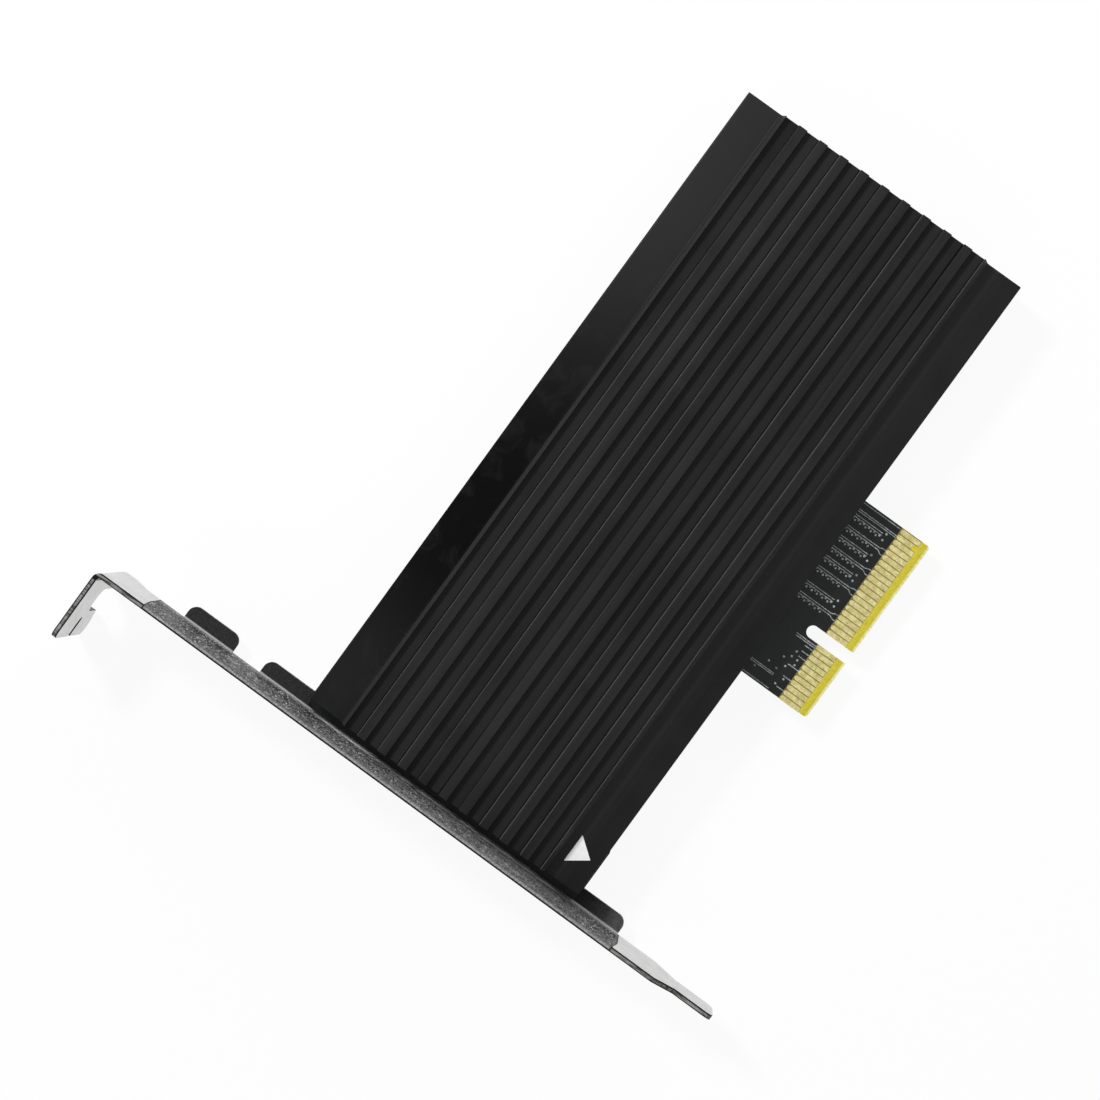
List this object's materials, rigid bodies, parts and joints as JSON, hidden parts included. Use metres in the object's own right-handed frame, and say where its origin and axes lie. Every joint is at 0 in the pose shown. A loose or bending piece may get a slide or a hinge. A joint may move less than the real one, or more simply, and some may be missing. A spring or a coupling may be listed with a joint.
{
  "type": "drive module adapter card",
  "caption": "Flat expansion card with a finned black cover, a gold edge connector, a slot bracket and a socket for one drive module under the cover.",
  "frame": {"origin": "middle of the footprint, on the surface below the card lying with its cover up", "axes": "+X from the bracket's flange to the card's far end, +Y from the edge connector up the bracket, +Z out of the finned cover"},
  "size_m": [0.1348, 0.12, 0.0216],
  "materials": {
    "black_anodised": "matt anodised",
    "board": "satin solder mask",
    "bracket_steel": "satin, sand-textured black paint on the middle of the plate",
    "gold": "satin plating",
    "screw_steel": "dark zinc",
    "black_plastic": "moulded",
    "tin": "tinned",
    "brass": "turned",
    "grey_silicone": "soft",
    "grey_ferrite": "pressed powder",
    "tan_ceramic": "satin",
    "green_plastic": "moulded",
    "clear_plastic": "moulded"
  },
  "bodies": {
    "root": {"bracket": "bracket_steel", "circuit_board": "board", "edge_contacts_top": "gold", "edge_contacts_bottom": "gold", "heatsink_cover": "black_anodised", "bracket_screws": "screw_steel", "cover_screws": "screw_steel", "module_socket_housing": "black_plastic", "module_socket_contacts": "gold", "module_socket_anchors": "tin", "module_standoff": "brass", "module_screw": "screw_steel", "thermal_pad": "grey_silicone", "regulator_body": "black_plastic", "regulator_leads": "tin", "power_inductor": "grey_ferrite", "bulk_capacitors": "tan_ceramic", "input_fuse": "green_plastic", "chip_capacitors": "tan_ceramic", "chip_resistors": "black_plastic", "status_led": "clear_plastic"}
  },
  "joints": []
}
